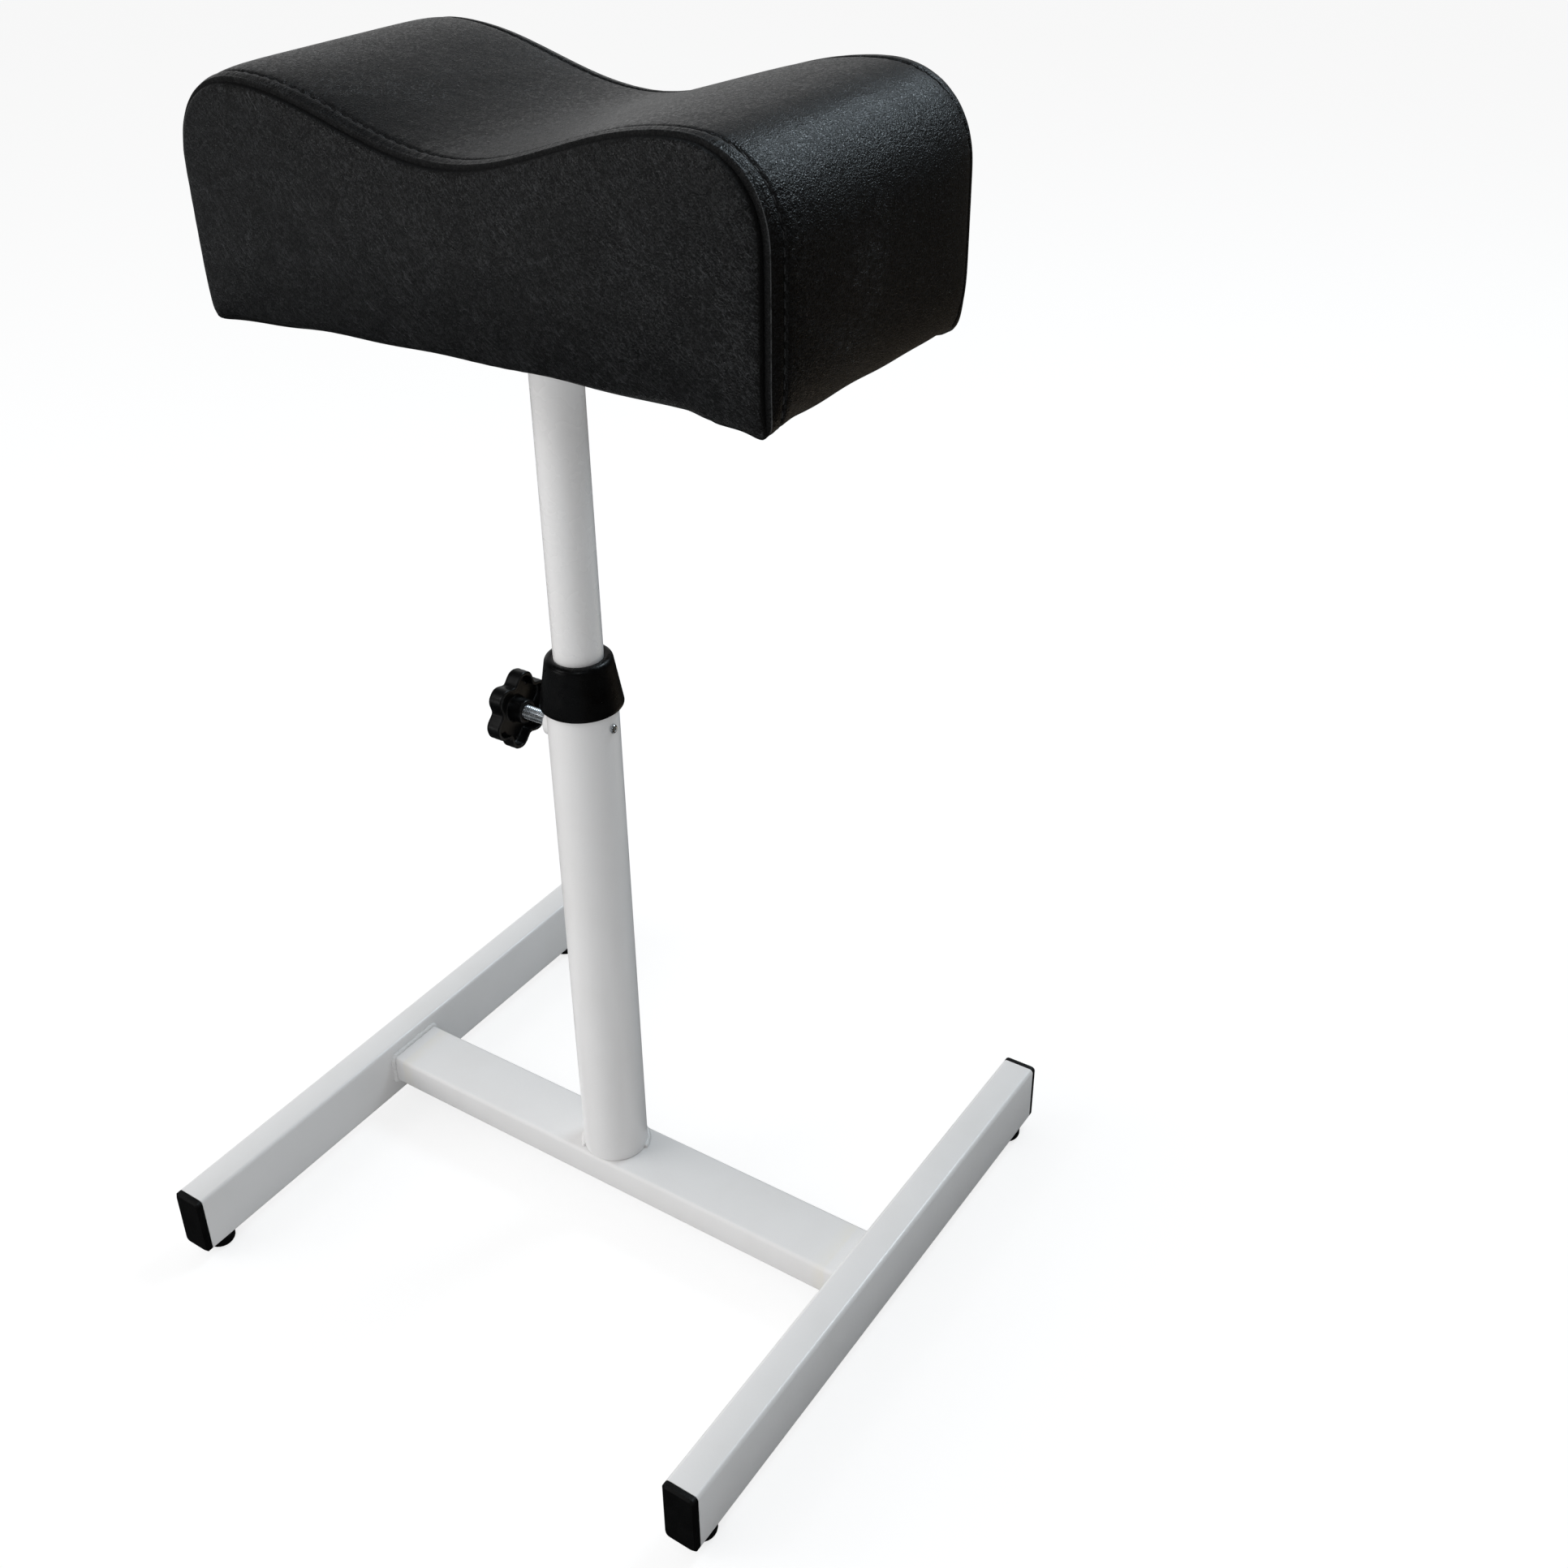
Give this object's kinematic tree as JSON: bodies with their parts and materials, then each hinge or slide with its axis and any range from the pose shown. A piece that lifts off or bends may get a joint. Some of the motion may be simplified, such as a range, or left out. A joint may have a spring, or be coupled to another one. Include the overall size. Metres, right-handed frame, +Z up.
{
  "type": "pedicure footrest",
  "caption": "Height-adjustable leg rest: wavy upholstered pad on a telescoping round post with a star-knob clamp, on an H-shaped tube base.",
  "frame": {"origin": "on the floor, under the post's axis, in the middle of the base", "axes": "+Z up along the post; +X along the cross tube towards the small screw, away from the knob; -Y is the front"},
  "size_m": [0.38, 0.38, 0.6738],
  "materials": {
    "frame_enamel": "white powder coat, satin with a fine orange peel",
    "post_enamel": "white powder coat, a little glossier than the base",
    "cap_plastic": "matte black moulded plastic",
    "foot_plastic": "matte black glide",
    "collar_plastic": "satin black moulded plastic",
    "knob_plastic": "satin black moulded plastic",
    "zinc": "bright zinc plate",
    "plywood": "raw plywood",
    "cloth": "black non-woven cloth",
    "leatherette": "satin"
  },
  "bodies": {
    "base": {"rail_left": "frame_enamel", "rail_right": "frame_enamel", "cross_tube": "frame_enamel", "lower_post": "frame_enamel", "clamp_nut": "frame_enamel", "collar": "collar_plastic", "bush_screw": "zinc", "cap_left_front": "cap_plastic", "cap_left_back": "cap_plastic", "cap_right_front": "cap_plastic", "cap_right_back": "cap_plastic", "foot_left_front": "foot_plastic", "foot_left_back": "foot_plastic", "foot_right_front": "foot_plastic", "foot_right_back": "foot_plastic"},
    "clamp_screw": {"clamp_stud": "zinc"},
    "clamp_handle": {"clamp_knob": "knob_plastic"},
    "lift": {"post_end_plug": "cap_plastic"},
    "head": {"upper_post": "post_enamel", "pad_plate": "post_enamel", "plate_screw_1": "zinc", "plate_screw_2": "zinc", "plate_screw_3": "zinc", "plate_screw_4": "zinc", "seat_board": "plywood", "dust_cover": "cloth", "cushion": "leatherette"}
  },
  "joints": [
    {"name": "height_slide", "type": "slide", "parent": "base", "child": "lift", "axis": [0, 0, 1], "range_m": [-0.16, 0.07]},
    {"name": "pad_swivel", "type": "hinge", "parent": "lift", "child": "head", "pos_m": [0, 0, 0.2135], "axis": [0, 0, 1], "continuous": true},
    {"name": "stud_travel", "type": "slide", "parent": "base", "child": "clamp_screw", "axis": [-1, 0, 0], "range_m": [0, 0.0025]},
    {"name": "knob_turn", "type": "hinge", "parent": "clamp_screw", "child": "clamp_handle", "pos_m": [-0.045, 0, 0.3335], "axis": [-1, 0, 0], "range_deg": [0, 720]}
  ],
  "couplings": [
    {"joint": "knob_turn", "follows": "stud_travel", "rad_per_m": 5026.5}
  ]
}
